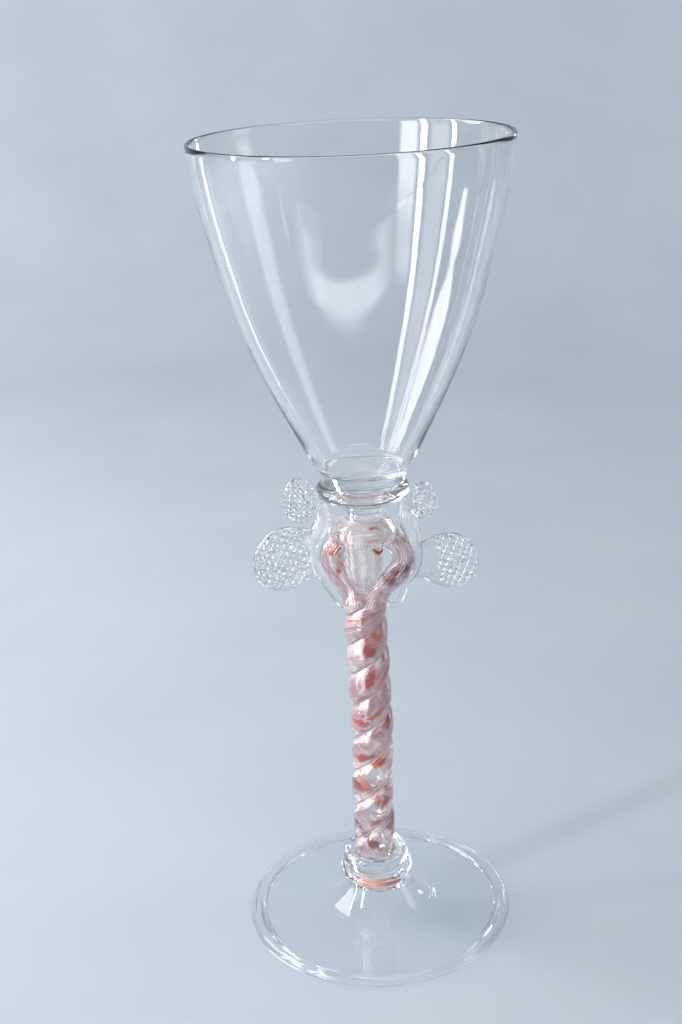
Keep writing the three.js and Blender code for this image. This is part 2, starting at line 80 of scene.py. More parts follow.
def smoothAt(values, share):  # a smooth value at a share of an evenly spaced list
    last = len(values) - 1
    place = min(max(share, 0), 1) * last
    k = min(int(place), last - 1)
    t = place - k
    a, b, c, d = (values[min(max(i, 0), last)] for i in (k - 1, k, k + 1, k + 2))
    return b + 0.5 * t * (c - a + t * (2 * a - 5 * b + 4 * c - d + t * (3 * (b - c) + d - a)))


def curveThrough(points, spans):  # a rounded profile through its corner points
    steps = spans * (len(points) - 1)
    return [tuple(smoothAt([p[k] for p in points], i / steps) for k in (0, 1)) for i in range(steps + 1)]


def wanderAt(height):
    share = height / levels.top
    marks, offsets = wander.shares, wander.offsets
    if share <= marks[0]:
        return offsets[0]
    for k in range(1, len(marks)):
        if share <= marks[k]:
            return blendOf(offsets[k - 1], offsets[k], smoothStep(marks[k - 1], marks[k], share))
    return offsets[-1]


def addNode(tree, kind, given=(), **settings):
    # given: inputs in order or by name, each a plain value, a socket, or a node whose first output is meant
    node = tree.nodes.new("ShaderNode" + kind)
    for name, value in settings.items():
        if name != "ramp":
            setattr(node, name, value)
            continue
        elements = node.color_ramp.elements
        while len(elements) < len(value):
            elements.new(0.5)
        for element, (place, colour) in zip(elements, value):
            element.position = place
            element.color = linear(colour)
    for key, value in given.items() if isinstance(given, dict) else enumerate(given):
        if isinstance(value, bpy.types.Node):
            value = value.outputs[0]
        if isinstance(value, bpy.types.NodeSocket):
            tree.links.new(value, node.inputs[key])
        else:
            node.inputs[key].default_value = value
    return node


def newMaterial(name, settings, passing=None):
    # passing: how much of the lamps' light goes straight on through this surface, as through clear glass
    material = bpy.data.materials.new(name)
    material.use_nodes = True
    tree = material.node_tree
    tree.nodes.clear()
    output = addNode(tree, "OutputMaterial")
    shader = addNode(tree, "BsdfPrincipled", settings)
    surface = shader.outputs["BSDF"]
    if passing:
        rays = addNode(tree, "LightPath")
        through = addNode(tree, "BsdfTransparent", {"Color": linear(passing)})
        for kind in ("Is Diffuse Ray", "Is Shadow Ray"):
            surface = addNode(tree, "MixShader", (rays.outputs[kind], surface, through)).outputs["Shader"]
    tree.links.new(surface, output.inputs["Surface"])
    return material, tree, shader


def newPiece(name, points, faces, material, node=None, uvs=None):
    mesh = bpy.data.meshes.new(name)
    mesh.from_pydata([tuple(c * mm for c in p) for p in points], [], faces)
    mesh.validate()
    mesh.polygons.foreach_set("use_smooth", [True] * len(mesh.polygons))
    mesh.set_sharp_from_angle(angle=crispAngle)
    if uvs:
        layer = mesh.uv_layers.new(name="along")
        for corner, uv in enumerate(uvs):
            layer.data[corner].uv = uv
    piece = bpy.data.objects.new(name, mesh)
    bpy.context.scene.collection.objects.link(piece)
    mesh.materials.append(material)
    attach(piece, "root")
    if node:
        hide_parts(*([node] if isinstance(node, str) else node))
    return piece


def turnedPiece(name, profile, segments, material, node, aside=0, ripple=None):
    # profile: (radius, height) pairs in mm from the axis, round the outside or inside, to the axis again
    points, faces, rows = [], [], []
    for r, z in profile:
        row = []
        for k in range(segments if r else 1):
            angle = fullTurn * k / segments
            s = r * (1 + (ripple(angle, z) if ripple else 0))
            row.append(len(points))
            points.append((aside + s * math.cos(angle), s * math.sin(angle), z))
        rows.append(row)
    for low, high in zip(rows, rows[1:]):
        for k in range(segments):
            n = (k + 1) % segments
            corners = [row[i % len(row)] for row, i in ((low, k), (low, n), (high, n), (high, k))]
            faces.append(tuple(dict.fromkeys(corners)))  # three corners where a row is a point on the axis
    return newPiece(name, points, faces, material, node)


def bundledPiece(name, tubes, material, node=None, lengths=None):
    # tubes: lists of rings of points in mm, one count all through; both ends of each are closed with a fan
    points, faces, uvs = [], [], []
    for rings in tubes:
        count, base = len(rings[0]), len(points)
        points += [tuple(p) for ring in rings for p in ring]
        reach = lengths or [i / (len(rings) - 1) for i in range(len(rings))]
        for i in range(len(rings) - 1):
            low, high = base + i * count, base + (i + 1) * count
            for j in range(count):
                n = (j + 1) % count
                faces.append((low + j, low + n, high + n, high + j))
                a, b = j / count, (j + 1) / count
                uvs += [(a, reach[i]), (b, reach[i]), (b, reach[i + 1]), (a, reach[i + 1])]
        for k in (0, len(rings) - 1):
            hub = len(points)
            points.append(tuple(sum((Vector(p) for p in rings[k]), Vector()) / count))
            for j in range(count):
                a, b = base + k * count + j, base + k * count + (j + 1) % count
                faces.append((hub, a, b) if k else (hub, b, a))
                uvs += [(j / count, reach[k])] * 3
    return newPiece(name, points, faces, material, node, uvs)


def skinnedPiece(name, rings, material, node=None, lengths=None):
    return bundledPiece(name, [rings], material, node, lengths)


def curveAt(places, t):  # the point and heading at a share of a centripetal curve through a few places
    total = len(places) - 1
    place = min(max(t, 0), 1) * total
    k = min(int(place), total - 1)
    w = place - k
    p1, p2 = places[k], places[k + 1]
    p0 = places[k - 1] if k > 0 else p1 * 2 - p2
    p3 = places[k + 2] if k + 2 <= total else p2 * 2 - p1
    d0, d1, d2 = ((q - p).length ** 0.5 for p, q in ((p0, p1), (p1, p2), (p2, p3)))
    m1 = ((p1 - p0) / d0 - (p2 - p0) / (d0 + d1) + (p2 - p1) / d1) * d1
    m2 = ((p2 - p1) / d1 - (p3 - p1) / (d1 + d2) + (p3 - p2) / d2) * d1
    c2 = -3 * p1 + 3 * p2 - 2 * m1 - m2
    c3 = 2 * p1 - 2 * p2 + m1 + m2
    return p1 + m1 * w + c2 * w * w + c3 * w ** 3, (m1 + 2 * c2 * w + 3 * c3 * w * w).normalized()


def pathThrough(places, count, finePoints=0):  # finePoints: how many between two places, to space it evenly
    places = [Vector(p) for p in places]
    if not finePoints:
        return [curveAt(places, i / (count - 1)) for i in range(count)]
    total = finePoints * (len(places) - 1)
    fine = [curveAt(places, i / total) for i in range(total + 1)]
    reach = [0]
    for a, b in zip(fine, fine[1:]):
        reach.append(reach[-1] + (b[0] - a[0]).length)
    found, k = [], 0
    for i in range(count):
        want = reach[-1] * i / (count - 1)
        while k < len(reach) - 2 and reach[k + 1] < want:
            k += 1
        w = (want - reach[k]) / (reach[k + 1] - reach[k])
        found.append((fine[k][0].lerp(fine[k + 1][0], w), fine[k][1].lerp(fine[k + 1][1], w).normalized()))
    return found


# Camera
cameraLook = Look(
    place=(0, -0.46171, 0.32964), pitch=20.46388, roll=-2.57384, yaw=-0.99347,
    lens=51.64, sensor=36, nearest=0.01,
)


def setCamera(look):
    data = bpy.data.cameras.new("camera")
    data.lens = look.lens
    data.sensor_width = look.sensor
    data.clip_start = look.nearest
    camera = bpy.data.objects.new("camera", data)
    pitch, roll, yaw = (math.radians(look[k]) for k in ("pitch", "roll", "yaw"))
    forward = Vector((math.sin(yaw) * math.cos(pitch), math.cos(yaw) * math.cos(pitch), -math.sin(pitch)))
    right = Vector((math.cos(yaw), -math.sin(yaw), 0))
    up = right.cross(forward)
    across = right * math.cos(roll) + up * math.sin(roll)
    above = up * math.cos(roll) - right * math.sin(roll)
    turned = Matrix((across, above, -forward)).transposed().to_4x4()
    turned.translation = look.place
    camera.matrix_world = turned
    bpy.context.scene.collection.objects.link(camera)
    bpy.context.scene.camera = camera


setCamera(cameraLook)

# Stage: a pale paper sweep in a dim room, with soft lamps round it (lengths in m)
stageLook = Look(
    halfWidth=2.6, front=-2.2, bend=0.75, radius=0.5, height=2.4, bendSteps=24,
    floor="#c1cad4", floorVaried="#c7d0d9", grain=110,  # grain: size of the paper's mottling (mm)
    roughness=0.95, shine=0.1,
    room=[(0, "#c9d0da"), (0.45, "#8d96a3"), (0.9, "#4d545e")], roomStrength=0.5,
    lampLevel=0.9, aim=(0, 0, 0.14), bounces=24,
)
lampLooks = [
    # name, azimuth from the camera's side (right is +), elevation, distance,
    # width, height, radiance, shape, share of the width and height that fades, lean
    ("windowLeft", -106, 34, 1.25, 0.72, 0.95, 7.5, "ELLIPSE", None, 0),
    ("windowSide", -46, 6, 1.30, 0.40, 0.95, 6.5, "RECTANGLE", (0.25, 0.2), 0),
    ("stripLeftFront", -58, 20, 1.30, 0.11, 1.00, 22, "RECTANGLE", None, 0),
    ("stripLeft", -85, 16, 1.30, 0.08, 1.00, 22, "RECTANGLE", None, 0),
    ("panelLeft", -72, 18, 1.45, 0.50, 0.90, 2.4, "RECTANGLE", (0.2, 0.2), 0),
    ("stripBackRight", 150, 10, 1.30, 0.10, 0.80, 8, "RECTANGLE", None, 0),
    ("panelRight", 90, 24, 1.30, 0.50, 0.80, 2.6, "RECTANGLE", (0.3, 0.2), 0),
    ("topSoft", 0, 88, 1.20, 0.70, 0.70, 1.2, "RECTANGLE", (0.3, 0.3), 0),
    # a long lamp in front, whose mirror image sags across the bowl
    ("bandFront", 9, 30, 1.35, 2.80, 0.20, 4, "RECTANGLE", (0.3, 0.25), -1),
]


def softenLamp(data, soft):  # the cloth of the lamp glows less towards its edges
    data.use_nodes = True
    tree = data.node_tree
    tree.nodes.clear()
    place = addNode(tree, "NewGeometry")
    split = addNode(tree, "SeparateXYZ", (place.outputs["Parametric"],))
    edges = []
    for axis, share in zip(("X", "Y"), soft):
        away = addNode(tree, "Math", (split.outputs[axis], 0.5), operation="PINGPONG")
        edges.append(addNode(tree, "MapRange", (away, 0, share), interpolation_type="SMOOTHSTEP"))
    level = addNode(tree, "Math", edges, operation="MULTIPLY")
    glow = addNode(tree, "Emission", {"Strength": level})
    addNode(tree, "OutputLight", {"Surface": glow})


def hangLamp(look, name, azimuth, elevation, distance, width, height, radiance, shape, soft, lean):
    a, e = math.radians(azimuth), math.radians(elevation)
    out = Vector((math.sin(a) * math.cos(e), -math.cos(a) * math.cos(e), math.sin(e)))
    data = bpy.data.lights.new(name, "AREA")
    data.shape = shape
    data.size, data.size_y = width, height
    glowing = width * height * (math.pi / 4 if shape == "ELLIPSE" else 1)
    data.energy = look.lampLevel * radiance * math.pi * glowing
    if soft:
        softenLamp(data, soft)
    lamp = bpy.data.objects.new(name, data)
    lamp.location = Vector(look.aim) + out * distance
    lamp.rotation_euler = (out.to_track_quat("Z", "Y") @ Quaternion((0, 0, 1), math.radians(lean))).to_euler()
    lamp.visible_camera = False
    bpy.context.scene.collection.objects.link(lamp)


def laySweep(look):  # matt card with a faint mottling, bent up behind
    surface = {"Roughness": look.roughness, "Specular IOR Level": look.shine}
    material, tree, shader = newMaterial("paperSweep", surface)
    coords, scale = addNode(tree, "TexCoord").outputs["Object"], patternScale(look.grain)
    mottle = addNode(tree, "TexNoise", {"Vector": coords, "Scale": scale, "Detail": 4})
    shade = addNode(tree, "ValToRGB", (mottle,), ramp=[(0.3, look.floor), (0.7, look.floorVaried)])
    tree.links.new(shade.outputs["Color"], shader.inputs["Base Color"])
    profile = [(look.front, 0), (look.bend, 0)]
    for k in range(1, look.bendSteps + 1):
        angle = k / look.bendSteps * math.pi / 2
        y = look.bend + look.radius * math.sin(angle)
        profile.append((y, look.radius * (1 - math.cos(angle))))
    profile.append((look.bend + look.radius, look.height))
    verts = [(x * look.halfWidth, y, z) for y, z in profile for x in (-1, 1)]
    faces = [(2 * k, 2 * k + 1, 2 * k + 3, 2 * k + 2) for k in range(len(profile) - 1)]
    mesh = bpy.data.meshes.new("paperSweep")
    mesh.from_pydata(verts, [], faces)
    mesh.polygons.foreach_set("use_smooth", [True] * len(mesh.polygons))
    mesh.materials.append(material)
    sweep = bpy.data.objects.new("paperSweep", mesh)
    bpy.context.scene.collection.objects.link(sweep)


def setRoom(look):
    world = bpy.data.worlds.new("room")
    bpy.context.scene.world = world
    world.use_nodes = True
    tree = world.node_tree
    sky = tree.nodes["Background"]
    rise = addNode(tree, "SeparateXYZ", (addNode(tree, "TexCoord").outputs["Generated"],))
    dusk = addNode(tree, "ValToRGB", (rise.outputs["Z"],), ramp=look.room)  # lighter towards the horizon
    tree.links.new(dusk.outputs["Color"], sky.inputs["Color"])
    sky.inputs["Strength"].default_value = look.roomStrength
    bpy.context.scene.view_settings.view_transform = "Standard"
    cycles = bpy.context.scene.cycles
    for kind in ("max_bounces", "transmission_bounces", "glossy_bounces", "transparent_max_bounces"):
        setattr(cycles, kind, look.bounces)


laySweep(stageLook)
setRoom(stageLook)
for lampLook in lampLooks:
    hangLamp(stageLook, *lampLook)
print("camera, stage and lamps set")

# Glass, all of it soda glass (index about 1.52) worked hot and fire-polished, so the surface is wet-bright
blownLook = Look(
    passing="#f4f7f9", tint="#ffffff", tintDeep="#fbfdfe", ior=1.52,
    cord=22, smearShare=1 / 3,  # how broad the waves in the glass (mm) and the dull patches are
    dull=(0.55, 0.8, 0, 0.02), waveStrength=0.12, waveDepth=0.4,
    skin=0, skinIor=1.5, skinRoughness=0.03,
)
footGlassLook = Look(blownLook, passing="#fafbfc")
gatheredLook = Look(blownLook, tintDeep="#fefbfb", cord=11, waveStrength=0.15)
caneLook = Look(
    blownLook, tint="#fffdfd", tintDeep="#fdf4f5", cord=7.7, waveStrength=0.2,
    dull=(0.55, 0.8, 0, 0.05), skin=0.9, skinIor=1.9,
)
pincerLook = Look(
    blownLook, tintDeep="#f9fbfd", cord=6.25, waveStrength=0.3, dull=(0.55, 0.8, 0, 0.05),
    skin=0.7, skinIor=1.8,
)


def makeGlass(name, look):
    skin = {"Coat Weight": look.skin, "Coat IOR": look.skinIor, "Coat Roughness": look.skinRoughness}
    body = {"Transmission Weight": 1, "IOR": look.ior}
    material, tree, shader = newMaterial(name, {**body, **skin}, look.passing)
    coords = addNode(tree, "TexCoord").outputs["Object"]
    cord = addNode(tree, "TexNoise", {"Vector": coords, "Scale": patternScale(look.cord), "Detail": 3})
    tint = addNode(tree, "ValToRGB", (cord,), ramp=[(0.35, look.tint), (0.65, look.tintDeep)])
    patch = patternScale(look.cord * look.smearShare)
    smear = addNode(tree, "TexNoise", {"Vector": coords, "Scale": patch, "Detail": 2})
    dull = addNode(tree, "MapRange", (smear, *look.dull))
    depth = look.waveDepth * mm
    wave = addNode(tree, "Bump", {"Height": cord, "Strength": look.waveStrength, "Distance": depth})
    for socket, node in (("Base Color", tint), ("Roughness", dull), ("Normal", wave)):
        tree.links.new(node.outputs[0], shader.inputs[socket])
    return material


blownGlass = makeGlass("blownSodaGlass", blownLook)  # thin wall: almost no colour, faint blowing waves
footGlass = makeGlass("blownFootGlass", footGlassLook)  # the plate, deep enough to shade the floor a little
gatheredGlass = makeGlass("gatheredSodaGlass", gatheredLook)  # solid gathers and trails, a hint of warmth
caneGlass = makeGlass("ribbedCaneGlass", caneLook)  # mould-ribbed, twisted: the pink inside tints it
pincerGlass = makeGlass("pinceredSodaGlass", pincerLook)  # chilled by the waffled jaws, so a touch less even

# Enamel threads, and one painted refraction made the same way; drift: how far apart their darker stretches
# lie (mm)
brickLook = Look(
    drift=8.3, roughness=0.35, colours=[(0.3, "#8a2b22"), (0.5, "#b8452f"), (0.7, "#c96a45")],
)
rustLook = Look(drift=11, roughness=0.3, colours=[(0.3, "#a8431c"), (0.6, "#c8642e")])
# painted refraction round the lower collar, standing in for the red cane's end seen through its lens
collarRefractionLook = Look(drift=5, roughness=0.4, colours=[(0.35, "#e0806c"), (0.6, "#f4b6a4")])


def makeEnamel(name, look):  # opaque glass drawn to a thread inside the clear cane
    material, tree, shader = newMaterial(name, {"Roughness": look.roughness})
    coords = addNode(tree, "TexCoord").outputs["Object"]
    drift = addNode(tree, "TexNoise", {"Vector": coords, "Scale": patternScale(look.drift), "Detail": 3})
    shade = addNode(tree, "ValToRGB", (drift,), ramp=look.colours)
    tree.links.new(shade.outputs["Color"], shader.inputs["Base Color"])
    return material


brickEnamel = makeEnamel("brickEnamelThread", brickLook)  # dense brick red, lighter where it was stretched
rustEnamel = makeEnamel("rustEnamelThread", rustLook)  # a warm rust orange, nearly even
collarRefractionPaint = makeEnamel("paintedCollarRefraction", collarRefractionLook)  # painted refraction: a pale salmon smear round the lower collar, where its lens shows the red cane's end

# Pale enamel cores, drawn out to streaks, so they cover the light only in part (sizes in mm)
veilLook = Look(
    # the core's own girth and length, its patches, the clouds in the stains,
    # the width and length of the drawn streaks and ribbons, and the ribs, as broad as the modelled ones
    girth=24.2, length=122.4, drift=6.7, cloud=2.6, streak=(1.1, 13.6),
    ribbon=(3.4571, 4.7077), rib=1.1,
    roughness=0.55, streakShare=0.3, edgeShare=0.22,
    colours=[(0.5, "#c98f98"), (0.72, "#dfb6ba"), (0.98, "#f8ebe8")],
    # how much it covers, as from, to, least, most: in thin and dense parts, low on the stem, in the loops
    milk=(0.5, 0.95, 0.3, 0.97), fade=(0.24, 0.5, 0, 1), loops=(0.78, 0.9, 1, 0.7),
    # white ribbons with a red line in them, near the cane's edges
    nearEdge=(0.66, 0.84), inRibbon=(0.34, 0.5), bandCover=0.9,
    bandColours=[
        (0.4, "#fffaf4"), (0.52, "#fdece4"), (0.56, "#cf4436"), (0.61, "#f6d2c8"), (0.68, "#fffaf4"),
    ],
    # painted shade: each rib's valley is darkened and thinned, so the crests read paler
    ribSpin=0, ribbed=(0.22, 0.45, 0, 0.6), valley=(0.08, 0.34, 1, 0),
    creaseColour="#a5626c",
    # stains: channel of the vertex colour, blush round the stain, and the stain's own colour
    stainColours=[
        ("Red", "#cf6258", "#ac2014"), ("Green", "#dd8a72", "#c44a22"), ("Blue", "#a86475", "#701e28"),
    ],
    cloudBreak=2.6, streakBreak=1.6,
    # for the blush and then the stain: where its border breaks up, which weights count, its most, its cover
    stainDepths=[(0, 0.55, 0, 0.25, 0.85, 0.7), (0.22, 0.72, 0.1, 0.45, 1, 0.97)],
)
capVeilLook = Look(
    veilLook, girth=50.6, length=5.13, streak=(2.3, 0.57), edgeShare=0,
    colours=[(0.4, "#e0b4b8"), (0.6, "#f0dcda"), (0.85, "#fffaf6")],
    milk=(0.4, 0.8, 0.06, 0.42), fade=(-1, -0.5, 1, 1), loops=(1.5, 2, 1, 0.7),
    bandCover=0, ribbed=(0.22, 0.45, 0, 0),
)
centreVeilLook = Look(
    capVeilLook, girth=26.4, length=19.8, streak=(0.66, 6.6), rib=0.66, streakShare=0.5,
    milk=(0.4, 0.8, 0.15, 0.75), fade=(0, 0.5, 0, 1),
    # painted shade in the rib valleys, all along the centre cane
    ribSpin=5.7, ribbed=(-0.2, 0, 0, 0.85),
)
# painted highlight: the trails' whitish core stands in for the glints of clear glass
trailHighlightLook = Look(
    capVeilLook, girth=9.9, length=45, streak=(1.1, 15), streakShare=0.7,
    colours=[(0.45, "#f0d2d2"), (0.6, "#fbf4f2"), (0.85, "#ffffff")],
    milk=(0.7, 1.05, 0, 0.42), fade=(0.25, 0.5, 0.1, 1),
)
times = {"operation": "MULTIPLY"}
plus = {"operation": "ADD"}
timesPlus = {"operation": "MULTIPLY_ADD"}
larger = {"operation": "MAXIMUM"}
smoothly = {"interpolation_type": "SMOOTHSTEP"}
inColour = {"data_type": "RGBA"}


def makeVeil(name, look):
    material, tree, shader = newMaterial(name, {"Roughness": look.roughness})
    add = partial(addNode, tree)
    coords = add("TexCoord")
    place, spread = coords.outputs["Object"], coords.outputs["UV"]
    split = add("SeparateXYZ", (spread,))
    around, along = split.outputs["X"], split.outputs["Y"]
    edge = add("Attribute", attribute_name="edge").outputs["Fac"]
    girth, length = look.girth, look.length
    drift = add("TexNoise", {"Vector": place, "Scale": patternScale(look.drift), "Detail": 4})
    counts = [(girth / width, length / reach, 0) for width, reach in (look.streak, look.ribbon)]
    pulled, wound = (add("VectorMath", (spread, count), **times) for count in counts)
    streak = add("TexNoise", {"Vector": pulled, "Scale": 1, "Detail": 3})
    edgeGain = add("Math", (edge, look.edgeShare), **times)
    gain = add("Math", (streak, look.streakShare, edgeGain), **timesPlus)
    mixed = add("Math", (drift, gain), **plus)
    base = add("ValToRGB", (mixed,), ramp=look.colours)

    # how much it covers, with the ribbons
    cover = add("MapRange", (mixed, *look.milk), **smoothly)
    for key in ("fade", "loops"):
        cover = add("Math", (cover, add("MapRange", (along, *look[key]), **smoothly)), **times)
    ribbon = add("TexNoise", {"Vector": wound, "Scale": 1, "Detail": 2})
    nearEdge = add("MapRange", (edge, *look.nearEdge), **smoothly)
    inRibbon = add("MapRange", (ribbon, *look.inRibbon), **smoothly)
    bandShare = add("Math", (nearEdge, inRibbon), **times)
    cover = add("Math", (cover, add("Math", (bandShare, look.bandCover), **times)), **larger)

    # painted shade in the ribs' valleys, so their crests read paler
    spun = add("Math", (along, along), **times)
    ribs = add("Math", (around, girth / look.rib), **times)
    turns = add("Math", (spun, look.ribSpin, ribs), **timesPlus)
    fold = add("Math", (turns, 0.5), operation="PINGPONG")
    valley = add("MapRange", (fold, *look.valley), **smoothly)
    ribbed = add("MapRange", (along, *look.ribbed), **smoothly)
    crease = add("Math", (valley, ribbed), **times)
    cover = add("Math", (cover, add("Math", (1, crease), operation="SUBTRACT")), **times)
    # painted shade: the crease colour darkens each rib's valley
    base = add("Mix", {0: crease, 6: base, 7: linear(look.creaseColour)}, **inColour).outputs[2]
    low = add("MapRange", (along, *look.fade[1::-1]), **smoothly)
    bandColour = add("ValToRGB", (ribbon,), ramp=look.bandColours)
    share = add("Math", (bandShare, low), **times)
    colour = add("Mix", {0: share, 6: base, 7: bandColour}, **inColour).outputs[2]

    # stains, ragged at their borders
    weights = add("SeparateColor", (add("Attribute", attribute_name="stain").outputs["Color"],))
    cloud = add("TexNoise", {"Vector": place, "Scale": patternScale(look.cloud), "Detail": 3})
    level = -(look.cloudBreak + look.streakBreak) / 2  # both noises lie round a half
    ragged = add("Math", (streak, look.streakBreak, level), **timesPlus)
    uneven = add("Math", (cloud, look.cloudBreak, ragged), **timesPlus)
    for channel, *tints in look.stainColours:
        weight = weights.outputs[channel]
        broken = add("Math", (weight, uneven), **plus)
        for tint, (start, full, least, enough, most, hiding) in zip(tints, look.stainDepths):
            torn = add("MapRange", (broken, start, full), **smoothly)
            inside = add("MapRange", (weight, least, enough, 0, most), **smoothly)
            share = add("Math", (torn, inside), **times)
            colour = add("Mix", {0: share, 6: colour, 7: linear(tint)}, **inColour).outputs[2]
            cover = add("Math", (cover, add("Math", (share, hiding), **times)), **larger)
    tree.links.new(colour, shader.inputs["Base Color"])
    tree.links.new(cover.outputs["Value"], shader.inputs["Alpha"])
    return material


pinkVeil = makeVeil("paleEnamelCore", veilLook)  # milky white with a breath of pink, thinner along the middle
capVeil = makeVeil("capEnamelCore", capVeilLook)  # only a thin cloud of white in the cap
centreVeil = makeVeil("centreEnamelCore", centreVeilLook)  # the broad cane in the middle is fuller of white
trailHighlightVeil = makeVeil("trailPaintedHighlight", trailHighlightLook)  # painted highlight: a faint whitish core in the clear trails, standing in for their bright glints
print("materials mixed")

# Foot
footLook = Look(
    radius=47.8, height=15.7, segments=160, rimWidth=5.4, rimHeight=4.3, restWidth=2.2,
    crownShare=0.12, crownFuse=1.5, topSpans=14,
    topRadii=[0.2, 0.225, 0.243, 0.285, 0.333, 0.377, 0.412, 0.5, 0.69, 0.885],
    topHeights=[1, 0.975, 0.88, 0.73, 0.575, 0.455, 0.39, 0.33, 0.26, 0.215],
    underSpans=7,
    underRadii=[0.9, 0.69, 0.5, 0.36, 0.25, 0.18, 0.115, 0],
    underHeights=[0.075, 0.115, 0.175, 0.28, 0.48, 0.61, 0.69, 0.71],
    # the edge was folded back over the plate: crease, inner bead, valley, outer bead
    foldSpans=6,
    foldOver=[
        (42.1, 2.97), (42.45, 3.55), (43, 4.05), (43.7, 4.22),
        (44.5, 4.08), (45.4, 3.98), (46.3, 4.06), (47.13, 3.58),
    ],
    beadFrom=0.72, beadTo=-0.95, beadSteps=16, restAngle=-2.2,
    bellRadius=19.6, bellWidth=0.8, bellRise=0.2,
    ripple=0.0012, ripplePhase=1.1, rippleRange=(8, 2),
)


def makeFoot(look):
    radius, height = look.radius, look.height
    middle = radius - look.rimWidth / 2

    def rim(angle):
        reach = middle + look.rimWidth / 2 * math.cos(angle)
        return (reach, look.rimHeight / 2 * (1 + math.sin(angle)))

    def risen(r, z):  # a faint ring where the bell runs out into the plate
        return (r, z + look.bellRise * math.exp(-((r - look.bellRadius) / look.bellWidth) ** 2))

    def ripple(angle, z):  # the plate isn't quite round
        return look.ripple * math.sin(2 * angle + look.ripplePhase) * smoothStep(*look.rippleRange, z)

    top = [(radius * r, height * h) for r, h in zip(look.topRadii, look.topHeights)]
    top = [risen(*point) for point in curveThrough(top, look.topSpans)]
    under = [(radius * r, height * h) for r, h in zip(look.underRadii, look.underHeights)]
    under = curveThrough(under, look.underSpans)
    steps = look.beadSteps
    bead = curveThrough(look.foldOver, look.foldSpans)
    bead += [rim(blendOf(look.beadFrom, look.beadTo, i / steps)) for i in range(1, steps + 1)]
    half = look.restWidth / 2
    rest = [(middle + half, 0), (middle - half, 0), rim(look.restAngle)]
    crown = [(0, height), (radius * look.crownShare, height + fuse * look.crownFuse)]
    crown.append((top[0][0], top[0][1] + fuse))
    profile = crown + top[1:] + bead + rest + under[:-1] + [(0, under[-1][1])]
    turnedPiece("footBlown", profile[::-1], look.segments, footGlass, "foot", 0, ripple)


makeFoot(footLook)

# Where red, orange and wine enamel was picked up:
# place in mm, half length, half width, lean, weights of the three colours
stains = [
    ((0.1, -5.5, 108.2), 4.2, 2.2, 110, (1, 0, 0)), ((1.5, -5.4, 114), 3.4, 2, 140, (0, 0.75, 0)),
    ((-0.3, -5.8, 97.2), 3.6, 1.7, 65, (1, 0, 0)), ((4.6, -3.4, 94.8), 3.2, 1.7, 48, (0.6, 0.4, 0)),
    ((-4.6, -4.6, 80.2), 4, 1.4, 12, (1, 0, 0)), ((0.9, -6, 83.4), 3.3, 1.2, 35, (0, 1, 0)),
    ((4.9, -3.2, 78.8), 2.8, 2, 50, (0.9, 0.2, 0)), ((-3.4, -5.3, 75.6), 2.6, 1.4, -20, (0, 0, 0.6)),
    ((-7.2, -1.5, 78.4), 2, 2, 0, (0.5, 0.3, 0)), ((-3.6, -5, 66.4), 4.4, 1.3, 18, (1, 0, 0)),
    ((2, -5.2, 64.2), 3.2, 1.2, 32, (0, 1, 0)), ((-3.7, -5, 56.6), 4.4, 1.3, -46, (0.7, 0.4, 0)),
    ((3.3, -4.8, 48.7), 2.9, 1.7, 52, (1, 0.3, 0)), ((-6.4, -3.4, 38.8), 2.8, 1.4, -45, (0.3, 0, 0.8)),
    ((2.1, -5.2, 40.4), 3.6, 1.2, 5, (0.9, 0.2, 0)), ((-2, -5.4, 32.2), 3.8, 1.8, -38, (0, 0, 1)),
    ((-10.4, -2.4, 145.2), 3, 2, 20, (0.2, 0.9, 0)), ((-9.6, -1.4, 138.3), 4.4, 1.1, 84, (0.3, 0.8, 0)),
    ((10.4, -2.6, 135.8), 5.8, 2.6, 42, (0, 0, 1)), ((12.9, -2, 147), 2, 1.6, 60, (0.4, 0, 0)),
]
stainShape = Look(backRise=3, reach=8, depth=3.5)


def readyStains():
    ready = []
    for (x, y, z), long, wide, lean, weights in stains:
        out = Vector((x, y, 0)).normalized() if z < levels.twistTop else Vector((0, -1, 0))
        turn = math.radians(lean)
        ready.append((Vector((x, y, z)), out, math.cos(turn), math.sin(turn), long, wide, weights))
    return ready


def stainWeights(p, ready, shape):
    found = [0, 0, 0]
    for turned in (False, True):  # the other side of the stem has its own share of them
        q = Vector((-p.x, -p.y, p.z - shape.backRise)) if turned else p
        for centre, out, along, across, long, wide, weights in ready:
            if abs(q.z - centre.z) > shape.reach or (turned and centre.z > levels.twistTop):
                continue
            off = q - centre
            deep = off.x * out.x + off.y * out.y
            if abs(deep) > shape.reach:
                continue
            u, v = off.y * out.x - off.x * out.y, off.z
            a, b = (u * along + v * across) / long, (v * along - u * across) / wide
            near = math.exp(-a * a - b * b - (deep / shape.depth) ** 2)
            found = [max(f, near * w) for f, w in zip(found, weights)]
    return found


def markCore(piece, count, section=None):  # section: the cane's shape, for the core of a twisted cane
    mesh = piece.data
    arc = section.arcPoints / (section.arcPoints + section.flatPoints) if section else 0
    marks, sides, ready = [], [], readyStains()
    for i, vertex in enumerate(mesh.vertices):
        marks += [*stainWeights(vertex.co / mm, ready, stainShape), 1]
        u = (i % count) / count
        side = abs(math.cos(math.pi * u / arc)) if u < arc else abs(1 - 2 * (u - arc) / (1 - arc))
        sides.append(side if section else 0)
    mesh.color_attributes.new("stain", "FLOAT_COLOR", "POINT").data.foreach_set("color", marks)
    mesh.attributes.new("edge", "FLOAT", "POINT").data.foreach_set("value", sides)


